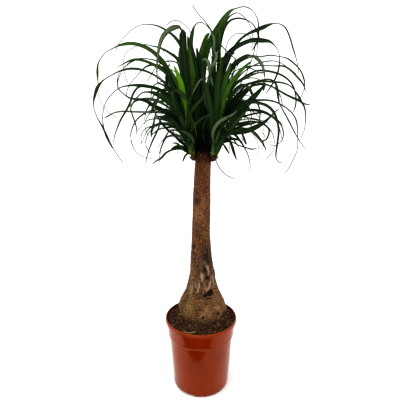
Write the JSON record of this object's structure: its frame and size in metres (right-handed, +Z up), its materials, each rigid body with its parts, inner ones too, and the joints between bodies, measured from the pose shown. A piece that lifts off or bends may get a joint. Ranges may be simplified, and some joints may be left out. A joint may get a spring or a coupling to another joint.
{
  "type": "potted ponytail palm",
  "caption": "Ponytail palm with a swollen foot, a bare trunk and arching strap leaves in heads at its top, growing in soil in a terracotta-coloured nursery pot.",
  "frame": {"origin": "middle of the pot's underside, on the pad that stands on the floor", "axes": "+Z up the trunk, -Y towards the front that the picture shows, +X to the right of that view"},
  "size_m": [0.6686, 0.5098, 1.225],
  "materials": {
    "pot": "semi-gloss terracotta-coloured plastic",
    "soil": "matt dark potting soil",
    "bark": "rough brown bark",
    "leaf": "satin dark green leaf"
  },
  "bodies": {
    "root": {"pot": "pot", "soil": "soil", "trunk": "bark", "leaf_head_left": "leaf", "leaf_head_right": "leaf", "leaf_head_back_right": "leaf", "leaf_head_back_left": "leaf"}
  },
  "joints": []
}
